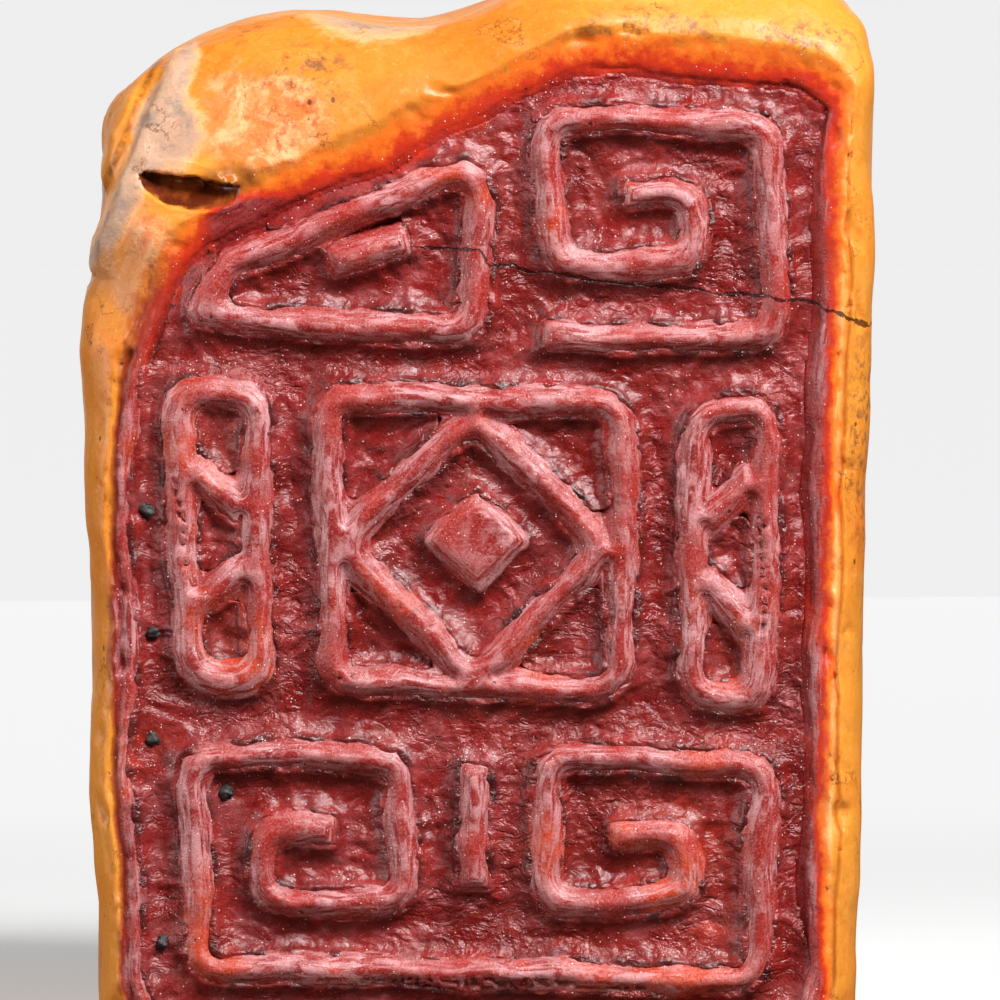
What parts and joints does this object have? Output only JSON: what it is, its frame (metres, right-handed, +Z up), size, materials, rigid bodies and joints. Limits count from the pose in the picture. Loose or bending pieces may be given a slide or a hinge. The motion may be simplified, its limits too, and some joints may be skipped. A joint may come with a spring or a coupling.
{
  "type": "seal stamp",
  "caption": "Carved stone seal in its natural rounded shape, with a raised fret on the printing face, dried paste in the cut ground and a flat side to rest on.",
  "frame": {"origin": "under the middle of the seal, on the surface that it lies on", "axes": "+Z up, with the seal lying on its narrow flat side; the engraved face looks along -Y; +X is to the right for a viewer who faces it; the grip end points along +Y"},
  "size_m": [0.031, 0.058, 0.0424],
  "materials": {
    "stone": "polished soft carving stone, yellow to orange with grey-white rind",
    "seal_paste": "dried oily red seal paste, half gloss",
    "dried_ink": "dry black crumbs"
  },
  "bodies": {
    "root": {"stone_body": "stone", "paste_field": "seal_paste", "paste_panel_corner_low_left": "seal_paste", "paste_panel_corner_low_right": "seal_paste", "paste_panel_corner_high_right": "seal_paste", "paste_panel_corner_high_left": "seal_paste", "paste_panel_ring": "seal_paste", "paste_wedge": "seal_paste", "paste_bar_left_low": "seal_paste", "paste_bar_left_middle": "seal_paste", "paste_bar_left_high": "seal_paste", "paste_bar_right_low": "seal_paste", "paste_bar_right_middle": "seal_paste", "paste_bar_right_high": "seal_paste", "ink_crumb_1": "dried_ink", "ink_crumb_2": "dried_ink", "ink_crumb_3": "dried_ink", "ink_crumb_4": "dried_ink", "ink_crumb_5": "dried_ink"}
  },
  "joints": []
}
